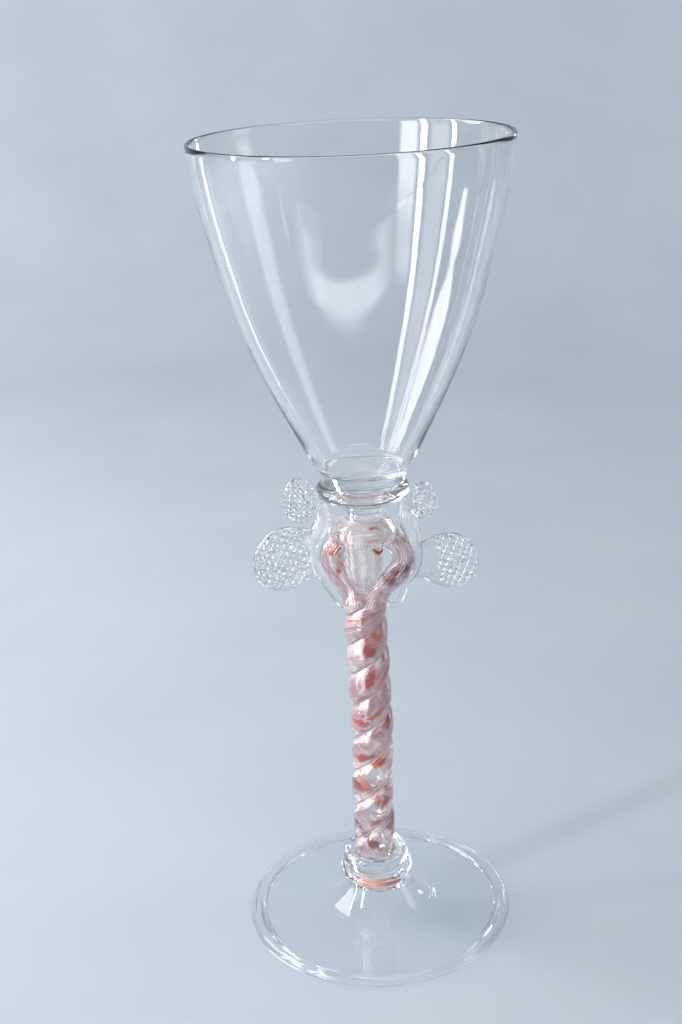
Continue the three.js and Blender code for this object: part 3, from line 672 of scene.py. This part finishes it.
# Collars, cap, neck and merese: solid turned gathers
collarLooks = [
    Look(name="collarLowerGather", node="collar_lower", radius=13.25, base="lowerCollar", height=4.4,
     radii=[0.72, 0.9, 1, 0.94, 0.82], heights=[0, 0.12, 0.5, 0.88, 1]),
    Look(name="collarUpperGather", node="collar_upper", radius=11.75, base="upperCollar", height=6.2,
     radii=[0.88, 0.97, 1, 0.96, 0.86], heights=[0, 0.16, 0.52, 0.86, 1],
     dish=[(8.75, 0.7), (8.4, 1.9), (0, 2.2)]),  # dish: radius, and depth under the top
    Look(name="neckGather", node="neck", radius=6.5, base="neck", height=4.5,
     radii=[0.95, 1, 0.94, 0.91, 0.95, 1], heights=[0, 0.18, 0.4, 0.62, 0.85, 1]),
    Look(name="mereseGather", node="merese", radius=15.75, base="merese", height=7.6,
     radii=[0.43, 0.62, 0.84, 0.965, 1, 0.965, 0.89, 0.82],
     heights=[0, 0.14, 0.31, 0.47, 0.66, 0.84, 0.96, 1]),
]
capLook = Look(
    name="capGather", node="cap", radius=11.15, base="cap", height=7.9,
    radii=[0.93, 1, 0.985, 0.93, 0.83, 0.7, 0.6], heights=[0, 0.12, 0.36, 0.62, 0.84, 0.96, 1],
    coreInset=1.6, coreLift=1.4, coreTop=4, coreRange=(0.2, 1.1),
    coreSteps=12, corePoints=96,
)
gatherShape = Look(spans=8, segments=128)


def makeGather(look, shape):
    base, height = levels[look.base], look.height
    side = [(look.radius * r, base + height * h) for r, h in zip(look.radii, look.heights)]
    side = curveThrough(side, shape.spans)
    side[0] = (side[0][0], side[0][1] - fuse)
    side[-1] = (side[-1][0], side[-1][1] + fuse)
    top = [(r, base + height - depth) for r, depth in look.get("dish", ())] or [(0, side[-1][1])]
    profile = [(0, side[0][1])] + side + top
    aside = wanderAt(base)
    turnedPiece(look.name, profile, shape.segments, gatheredGlass, look.node, aside)


def makeCapCore(look):
    base, aside, count = levels.cap, wanderAt(levels.cap), look.corePoints
    angles = [fullTurn * k / count for k in range(count)]
    rings = []
    for i in range(look.coreSteps + 1):
        t = i / look.coreSteps
        r = blendOf(look.radius - look.coreInset, look.coreTop, smoothStep(*look.coreRange, t))
        z = base + look.coreLift + (look.height - 2 * look.coreLift) * t
        rings.append([(aside + r * math.cos(a), r * math.sin(a), z) for a in angles])
    markCore(skinnedPiece("capCore", rings, capVeil, None), count)


for collarLook in collarLooks:
    makeGather(collarLook, gatherShape)
makeGather(capLook, gatherShape)
makeCapCore(capLook)

# Bowl
bowlLook = Look(
    radius=51, height=111.8, flare=[0.267, 0.4, 0.532, 0.653, 0.755, 0.835, 0.906, 0.964, 1],
    wall=1.2, wallGain=1.7, wallPower=5, seatInset=0.3, steps=90, segments=192,
    floor=3.8, floorRise=4, floorSpans=8,
    floorRadii=[0, 0.35, 0.68, 0.9], floorRises=[0, 0.02, 0.16, 0.42],
    lip=0.6, lipSteps=12, lipGap=0.006,
    ripple=0.0016, facets=5, facetLean=0.02, rippleLow=(170, 200), rippleHigh=(280, 262),
)


def makeBowl(look):
    base, height, lip, steps = levels.bowl, look.height, look.lip, look.steps

    def outer(s):
        return look.radius * smoothAt(look.flare, s)

    def inner(s):  # the wall thickens towards the floor
        return outer(s) - (look.wall + look.wallGain * (1 - s) ** look.wallPower)

    def ripple(a, z):  # blown freehand: broad shallow facets that bend the bands of light
        low, high = (smoothStep(*look[key], z) for key in ("rippleLow", "rippleHigh"))
        return look.ripple * math.sin(look.facets * a + look.facetLean * z) * low * high

    profile = [(0, base - fuse), (outer(0) - look.seatInset, base - fuse)]
    lipShare = 1 - lip / height
    profile += [(outer(lipShare * i / steps), base + height * lipShare * i / steps) for i in range(steps + 1)]
    rim, top = outer(lipShare) - lip, base + height * lipShare
    for i in range(1, look.lipSteps):  # the lip, fire-polished to a fine bead
        angle = math.pi * i / look.lipSteps
        profile.append((rim + lip * math.cos(angle), top + lip * math.sin(angle)))
    low = (look.floor + look.floorRise) / height
    for i in range(1, steps + 1):
        s = blendOf(lipShare - look.lipGap, low, i / steps)
        profile.append((inner(s), base + height * s))
    edge, deepest = inner(low), base + look.floor
    floor = [(edge * r, deepest + look.floorRise * h) for r, h in zip(look.floorRadii, look.floorRises)]
    floor = curveThrough(floor + [profile[-1]], look.floorSpans)
    profile += floor[::-1][1:-1] + [(0, deepest)]
    turnedPiece("bowlBlown", profile, look.segments, blownGlass, "bowl", 0, ripple)


makeBowl(bowlLook)
print("foot, collars, cap and bowl turned")

# Stem: two ribbed canes twisted round each other, opening into a loop each
caneShape = Look(
    radius=7.5, facing=-0.1, groove=0.17, sharpness=6, centre=3.075,
    arcPoints=161, flatPoints=47, edgeFade=0.12,
    halfPitch=10.7, pitchGain=0.3, grooveBelowTop=4.5, twistStep=0.085,
    loopRadius=3.75, loopSteps=76, finePoints=24, rounding=0.27,
    ribs=22, ribHeight=0.1, ribLow=0.03, ribRange=(52, 88), loopRibGain=0.15,
    coreScale=0.68, coreLow=0.78, coreRange=(45, 85), coreRibShare=1, coreRings=slice(2, -3),
)
rightLoop = Look(
    side=1, reach=12.6, reaches=[0.19, 0.34, 0.65, 0.92, 1, 0.93, 0.7, 0.5],
    rises=[0.1, 0.235, 0.385, 0.54, 0.69, 0.84, 0.97, 1.09],
    depths=[-0.07, -0.09, -0.09, -0.06, -0.02, 0.03, 0.04, 0.03], spin=1.2,
)
leftLoop = Look(
    side=-1, reach=11.6, reaches=[0.38, 0.5, 0.73, 0.98, 1, 0.78, 0.54],
    rises=[0.08, 0.21, 0.41, 0.63, 0.82, 0.97, 1.1],
    depths=[0.08, 0.1, 0.09, 0.04, -0.02, -0.04, -0.03], spin=-0.8,
)
knotHeight = 23.3
capSink = 1.2  # how far the canes run up into the cap, where they are fused


def grooveTurns(height, shape):
    below = levels.twistTop - shape.grooveBelowTop - height
    root = math.sqrt(shape.halfPitch ** 2 + 4 * shape.pitchGain * below)
    return (root - shape.halfPitch) / (2 * shape.pitchGain)


def caneSection(shape):  # flat points in the cane's own plane: x along the flat, y away from the other cane
    points = []
    for j in range(shape.arcPoints):
        angle = math.pi * j / (shape.arcPoints - 1)
        r = shape.radius * (1 - shape.groove * abs(math.cos(angle)) ** shape.sharpness)
        points.append(Vector((r * math.cos(angle), shape.facing / 2 + r * math.sin(angle))))
    left, right = points[-1], points[0]
    for j in range(1, shape.flatPoints + 1):
        points.append(left.lerp(right, j / (shape.flatPoints + 1)))
    return points


def caneStations(loop, shape):
    # one entry per ring: centre, across, outward, how round the cane is, how far up the loop it is
    stations = []
    low, high = (-math.pi * grooveTurns(levels[key], shape) for key in ("stem", "twistTop"))
    steps = math.ceil((high - low) / shape.twistStep)
    facing = -math.pi if loop.side > 0 else 0
    start = levels.twistTop - shape.grooveBelowTop
    for i in range(steps + 1):
        turns = -blendOf(low, high, i / steps) / math.pi
        height = start - turns * (shape.halfPitch + shape.pitchGain * turns)
        angle = -math.pi * turns + facing
        across = Vector((math.cos(angle), math.sin(angle), 0))
        out = Vector((-math.sin(angle), math.cos(angle), 0))
        centre = Vector((wanderAt(height), 0, height)) + out * shape.centre
        stations.append((centre, across, out, 0, 0))
    across = across.copy()
    places = [centre]
    for r, h, d in zip(loop.reaches, loop.rises, loop.depths):
        aside, deep = loop.side * loop.reach * r, loop.reach * d
        places.append(Vector((aside, deep, levels.twistTop + knotHeight * h)))
    before = Vector((0, 0, 1))
    path = pathThrough(places, shape.loopSteps + 1, shape.finePoints)
    for i, (centre, heading) in enumerate(path[1:], 1):
        across.rotate(before.rotation_difference(heading))
        share = i / shape.loopSteps
        roundness = min(share / shape.rounding, 1)
        stations.append((centre, across.copy(), heading.cross(across), roundness, share))
        before = heading
        if centre.z > levels.cap + capSink:
            break
    return stations


def reed(turns):  # a round rib with a crease on each side
    return 1 - (2 * (turns % 1) - 1) ** 2


def spunBy(q, spin):
    return Vector((q.x * math.cos(spin) - q.y * math.sin(spin), q.x * math.sin(spin) + q.y * math.cos(spin)))


def ovalRing(middle, across, out, width, depth, count):
    angles = [fullTurn * k / count for k in range(count)]
    return [middle + across * (width * math.cos(a)) + out * (depth * math.sin(a)) for a in angles]


def caneRings(loop, shape, scale=1, ribShare=1):
    section = caneSection(shape)
    count = len(section)
    middle = Vector((0, shape.centre))
    first = (section[0] - middle).angle_signed(Vector((1, 0)))
    rings, lengths = [], []
    for centre, across, out, roundness, share in caneStations(loop, shape):
        soft = smoothStep(0, 1, roundness)
        strength = blendOf(shape.ribLow, shape.ribHeight, smoothStep(*shape.ribRange, centre.z))
        strength += shape.loopRibGain * soft
        size = scale
        if scale != 1:
            size = blendOf(shape.coreLow, scale, smoothStep(*shape.coreRange, centre.z))
        ring = []
        for j, p in enumerate(section):
            angle = first + fullTurn * j / count
            disc = Vector((math.cos(angle), math.sin(angle))) * shape.loopRadius
            q = (p - middle).lerp(disc, soft)
            fade = soft
            if j < shape.arcPoints:
                fromEdge = 0.5 - abs(j / (shape.arcPoints - 1) - 0.5)
                fade = blendOf(smoothStep(0, shape.edgeFade, fromEdge), 1, soft)
            rib = strength * ribShare * fade * reed(shape.ribs * j / count)
            q = spunBy(q * (size + rib / q.length), loop.spin * share)
            ring.append(centre + across * q.x + out * q.y)
        rings.append(ring)
        lengths.append((centre.z - levels.stem) / (levels.cap - levels.stem))
    return rings, lengths


def makeCane(name, node, loop, shape):
    rings, lengths = caneRings(loop, shape)
    skinnedPiece(name, rings, caneGlass, node, lengths)
    inside = caneRings(loop, shape, shape.coreScale, shape.coreRibShare)
    rings, lengths = (found[shape.coreRings] for found in inside)
    core = skinnedPiece(name + "Core", rings, pinkVeil, None, lengths)
    markCore(core, len(rings[0]), shape)


# Threads drawn inside the canes, each at its own place in the section (spot, in mm)
threadShape = Look(
    spot=(5.3, -1.3), size=0.2, wide=1.5, drift=0.4, driftStep=0.06, loopShare=0.8,
    driftDeep=0.5, swell=0.5, endShare=0.01, taper=0.3, points=10,
)
brickThread = Look(
    threadShape, spot=(-5, -1.4), size=0.22, wide=1.6, begin=0.3, end=0.62, seed=5,
    drift=0.5, driftStep=0.05, loopShare=0.6,
)
threadLooks = [
    ("rustThreadRight", rightLoop, Look(threadShape, begin=0.66, end=0.79, seed=1), rustEnamel),
    ("brickThreadRight", rightLoop, brickThread, brickEnamel),
    ("rustThreadLeft", leftLoop, Look(threadShape, begin=0.7, end=0.8, seed=9), rustEnamel),
]


def makeThread(name, loop, look, material):
    place, rings = Vector(look.spot), []
    inLoop = place.normalized() * caneShape.loopRadius * look.loopShare
    stations = caneStations(loop, caneShape)
    last = len(stations) - 1
    span = stations[int(look.begin * last):int(look.end * last) + 1]
    for i, (centre, across, out, roundness, share) in enumerate(span):
        drift = noise.noise(Vector((i * look.driftStep, look.seed, 0)))
        spot = spunBy(place.lerp(inLoop, smoothStep(0, 1, roundness)), loop.spin * share)
        aside, deep = drift * look.drift, drift * look.drift * look.driftDeep
        middle = centre + across * (spot.x + aside) + out * (spot.y + deep)
        t = min(max(i / (len(span) - 1), look.endShare), 1 - look.endShare)
        size = look.size * (1 + look.swell * drift) * math.sin(math.pi * t) ** look.taper
        rings.append(ovalRing(middle, across, out, size * look.wide, size, look.points))
    skinnedPiece(name, rings, material, None)


makeCane("caneRight", "cane_right", rightLoop, caneShape)
makeCane("caneLeft", "cane_left", leftLoop, caneShape)
for threadLook in threadLooks:
    makeThread(*threadLook)
print("canes twisted")

# Strokes of colour just under the skin, the collar's one a painted refraction: width, thickness, how many
# threads side by side, places in mm
strokeLooks = [
    ("lipStroke", rustEnamel, 0.6, 0.25, 1,
     [(-7.4, -2.9, 118.1), (-4.4, -5.6, 119.7), (-0.3, -6.3, 121.7), (2.1, -5.5, 122.2), (4.6, -4.2, 124.5)]),
    ("capStrokeHigh", brickEnamel, 0.8, 0.3, 2, [(0.4, -7.5, 153.2), (2.1, -7.1, 153.4), (4, -6.4, 153)]),
    ("capStrokeLow", rustEnamel, 0.7, 0.3, 2, [(-1.3, -8.9, 150.2), (1.6, -8.8, 149.9), (4.9, -7.6, 150.1)]),
    # painted refraction: the red cane's end as the lower collar's lens shows it
    ("collarPaintedRefraction", collarRefractionPaint, 2.6, 0.5, 2,
     [(-9.4, -6.2, 18.5), (-6, -9.6, 18.3), (-0.5, -11.3, 18.2), (5, -10.1, 18.3), (8.4, -7.4, 18.5)]),
    ("curlStroke", rustEnamel, 1.2, 1, 1,
     [(1.6, -4.9, 147.2), (2.4, -5, 145.3), (3.7, -4.6, 143.9), (4.8, -4, 143.8), (5.5, -3.4, 144.8)]),
]
strokeShape = Look(
    steps=28, finePoints=24, points=12, taper=0.6, least=0.05,
    parted=0.72, lateStart=1.5, lateMore=2, lateSeed=3.1, lateEnd=5,
    shakeStep=0.21, shakeSeed=4, shakeWidth=0.35, shakeAside=0.25,
)


def makeStroke(shape, name, material, width, thickness, threads, places):
    tubes = []
    path = pathThrough(places, shape.steps + 1, shape.finePoints)
    for k in range(threads):
        aside = (k - (threads - 1) / 2) * width / threads
        half, first, last = width / threads / 2, 0, 0
        if threads > 1:  # each of several threads starts and ends at its own place
            half *= shape.parted
            seeds = [Vector((k * shape.lateSeed, width, end)) for end in (0, shape.lateEnd)]
            first, last = (shape.lateStart + shape.lateMore * abs(noise.noise(seed)) for seed in seeds)
        rings = []
        for i, (centre, heading) in enumerate(path):
            out = Vector((0, -1, 0))
            if centre.z < levels.twistTop:
                out = Vector((centre.x - wanderAt(centre.z), centre.y, 0)).normalized()
            across = heading.cross(out).normalized()
            t = min(max((i - first) / (len(path) - 1 - first - last), 0), 1)
            swell = max(math.sin(math.pi * t) ** shape.taper, shape.least)
            shake = noise.noise(Vector((i * shape.shakeStep, k * shape.shakeSeed, width)))
            middle = centre + across * (aside + shape.shakeAside * shake)
            w, d = half * swell * (1 + shape.shakeWidth * shake), thickness / 2 * swell
            rings.append(ovalRing(middle, across, out, w, d, shape.points))
        tubes.append(rings)
    bundledPiece(name, tubes, material, None)


for strokeLook in strokeLooks:
    makeStroke(strokeShape, *strokeLook)
print("strokes of colour laid")

# The broad cane between the loops
centreLook = Look(
    width=13.2, depth=8.2, aside=-1.3, forward=-1.4, length=0.84, steps=80, points=280,
    widths=[0.42, 0.7, 0.94, 1, 0.98, 0.92], depths=[0.6, 0.84, 1, 1, 1, 0.96],
    ribs=40, ribHeight=0.2, spin=0.9,
    coreScale=0.78, coreRibShare=1.1, coreRings=slice(2, -2),
)


def centreRings(look, scale=1, ribShare=1):
    rings = []
    for i in range(look.steps + 1):
        share = i / look.steps
        height = levels.cap + capSink - (knotHeight * look.length + capSink) * (1 - share)
        halfWidth = look.width / 2 * smoothAt(look.widths, share) * scale
        halfDepth = look.depth / 2 * smoothAt(look.depths, share) * scale
        ring = []
        for j in range(look.points):
            angle = fullTurn * j / look.points
            turns = look.ribs * (angle + look.spin * share * share) / fullTurn
            rib = look.ribHeight * ribShare * reed(turns)
            x = look.aside + (halfWidth + rib) * math.cos(angle)
            ring.append((x, look.forward + (halfDepth + rib) * math.sin(angle), height))
        rings.append(ring)
    return rings


def makeCentreCane(look):
    skinnedPiece("caneCentre", centreRings(look), caneGlass, "cane_centre")
    inside = centreRings(look, look.coreScale, look.coreRibShare)[look.coreRings]
    markCore(skinnedPiece("caneCentreCore", inside, centreVeil, None), look.points)


makeCentreCane(centreLook)

# Trails: clear bands laid up the outer side of the loops, with a tail on the left and a curl on the right
leftTrail = Look(
    side=-1, reach=17.9,
    reaches=[0.43, 0.52, 0.635, 0.745, 0.835, 0.93, 0.985, 1, 0.85, 0.775, 0.83],
    rise=38.2, rises=[0, 0.04, 0.115, 0.2, 0.3, 0.375, 0.49, 0.61, 0.755, 0.885, 1],
    radius=3.3, radii=[0.36, 0.42, 0.45, 0.46, 0.49, 0.66, 0.57, 0.52, 1, 0.67, 0.55],
)
rightTrail = Look(
    side=1, reach=16.9,
    reaches=[0.37, 0.35, 0.475, 0.62, 0.715, 0.775, 0.92, 1, 0.985, 0.925, 0.83, 0.78, 0.79],
    rise=39.5, rises=[0.1, 0.04, 0, 0.035, 0.12, 0.215, 0.31, 0.42, 0.55, 0.675, 0.785, 0.915, 1],
    radius=2.9, radii=[0.26, 0.3, 0.3, 0.33, 0.38, 0.5, 0.62, 0.69, 0.78, 0.97, 1, 0.6, 0.5],
)
trailShape = Look(
    steps=130, points=40, depth=0.86, startDrop=1.4, endRings=5, endLeast=0.03,
    uneven=0.05, unevenTurns=14, coreScale=0.6, coreRings=slice(4, -4),
)


def makeTrail(name, node, look, shape):
    base, steps, reach = levels.twistTop - shape.startDrop, shape.steps, look.side * look.reach
    places = [(reach * r, 0, base + look.rise * h) for r, h in zip(look.reaches, look.rises)]
    deep = Vector((0, 1, 0))
    rings = []
    for i, (centre, heading) in enumerate(pathThrough(places, steps + 1)):
        share = i / steps
        across = Vector((heading.z, 0, -heading.x))
        end = min(share, 1 - share) * steps / shape.endRings
        close = math.sqrt(max(1 - (1 - min(end, 1)) ** 2, shape.endLeast))
        half = look.radius * smoothAt(look.radii, share) * close
        uneven = 1 + shape.uneven * noise.noise(Vector((share * shape.unevenTurns, look.side, 0)))
        rings.append(ovalRing(centre, across, deep, half * uneven, half * shape.depth, shape.points))
    skinnedPiece(name, rings, gatheredGlass, node)
    # painted highlight: a faint whitish core inside the clear trail
    core = []
    for ring in rings[shape.coreRings]:
        middle = sum(ring, Vector()) / len(ring)
        core.append([middle.lerp(p, shape.coreScale) for p in ring[::2]])
    markCore(skinnedPiece(name + "Core", core, trailHighlightVeil, None), len(core[0]))


makeTrail("trailLeft", "trail_left", leftTrail, trailShape)
makeTrail("trailRight", "trail_right", rightTrail, trailShape)
print("centre cane and trails laid")

# Pads: pressed between waffled pincers, with a smooth margin left round the knobs
plainRoot = Look(waistShare=0.1, waist=0)
padShape = Look(
    thickness=2.9, rootThickness=0.85, rootShare=0.3, bend=1.2, tipGap=0.05,
    # a pad's section across: mostly square-shouldered, a little rounded, thinner near its ends
    squareness=4, squareShare=0.9, roundShare=0.1, rimGain=1.6, tipInset=0.9,
    marginRange=(0.7, 2), clearBefore=0.06, clearAfter=0.1,
    knob=0.78, knobSink=0.4, knobUneven=0.5, knobSeed=0.9,
    warp=0.34, warpAlong=0.22, warpAcross=0.25, warpSeeds=(3, 7, 2),
)
pads = [
    Look(name="wingLeft", node="wing_left", side=-1, rootReach=16.2, rootRise=143, length=22.6,
     drop=3.6, halfHeight=11.7, rootHalf=9, waistShare=0.2, waist=0, centreShare=0.47,
     pitch=2.15, tilt=0.5, clearShare=0.12, along=130, across=120),
    Look(name="wingRight", node="wing_right", side=1, rootReach=15.8, rootRise=139.1, length=22.1,
     drop=0.9, halfHeight=10.2, rootHalf=6.9, waistShare=0.22, waist=0.6, centreShare=0.585,
     pitch=2.1, tilt=-0.35, clearShare=0.36, along=130, across=110),
    Look(plainRoot, name="crestLeft", node="crest_left", side=-1, rootReach=14.6, rootRise=161.6,
     length=12.8, drop=-0.9, halfHeight=8.3, rootHalf=3.4,
     centreShare=0.52, pitch=1.75, tilt=0.15, clearShare=0.16, along=90, across=100),
    Look(plainRoot, name="crestRight", node="crest_right", side=1, rootReach=12.9, rootRise=160.7,
     length=11.4, drop=0.2, halfHeight=6.7, rootHalf=2.9,
     centreShare=0.53, pitch=1.8, tilt=-0.2, clearShare=0.28, along=84, across=90),
]


def padHalf(look, share):
    if share >= look.centreShare:
        out = (share - look.centreShare) / (1 - look.centreShare)
        return look.halfHeight * math.sqrt(max(1 - out * out, 0))
    t = share / look.centreShare
    swell = blendOf(look.rootHalf, look.halfHeight, smoothStep(0, 1, t))
    return swell - look.waist * math.sin(math.pi * min(t / (2 * look.waistShare), 1))


def knobAt(x, z, side, look, shape):  # how far the knobs stand out at a place on one face, as a share
    c, s = math.cos(look.tilt), math.sin(look.tilt)
    seedAlong, seedAcross, seedKnob = shape.warpSeeds
    first = noise.noise(Vector((x * shape.warpAlong, z * shape.warpAlong, look.side * seedAlong)))
    second = noise.noise(Vector((x * shape.warpAcross, z * shape.warpAcross, seedAcross)))
    a = (x * c + z * s) / look.pitch + shape.warp * first
    b = (z * c - x * s) / look.pitch + shape.warp * second
    third = noise.noise(Vector((a * shape.knobSeed, b * shape.knobSeed, seedKnob + side)))
    return reed(a) * reed(b) * (1 + shape.knobUneven * third) - shape.knobSink


def makePad(look, shape):
    rings = []
    length, clear, count = look.length, look.clearShare, look.across
    for i in range(look.along + 1):
        sweep = i / look.along
        near = min(sweep * 2, 1) * look.centreShare
        far = math.sin(max(sweep * 2 - 1, 0) * math.pi / 2) * (1 - look.centreShare)
        share = near + far * (1 - shape.tipGap / length)
        half = padHalf(look, share)
        thin = blendOf(shape.rootThickness, 1, min(share / shape.rootShare, 1))
        thinEnd = min(half / look.halfHeight * shape.rimGain, 1)
        knobbed = smoothStep(clear - shape.clearBefore, clear + shape.clearAfter, share)
        x, bend = length * share, shape.bend * share * share
        ring = []
        for j in range(2 * count):
            side, step = (1, j) if j < count else (-1, 2 * count - j)
            v = 2 * step / count - 1
            z = v * half
            square = math.sqrt(max(1 - abs(v) ** shape.squareness, 0))
            lens = square * shape.squareShare + shape.roundShare * (1 - v * v)
            depth = shape.thickness / 2 * thin * min(lens, thinEnd)
            inset = min((1 - abs(v)) * half, (1 - share) * length * shape.tipInset)  # in from the margin
            margin = smoothStep(*shape.marginRange, inset) * knobbed
            depth += shape.knob * margin * knobAt(x, z, side, look, shape)
            reach, height = look.rootReach + x, look.rootRise - look.drop * share + z
            ring.append((look.side * reach, -side * depth - bend, height))
        rings.append(ring[::-1] if look.side > 0 else ring)
    skinnedPiece(look.name, rings, pincerGlass, look.node)


for padLook in pads:
    makePad(padLook, padShape)
print("pads pressed")
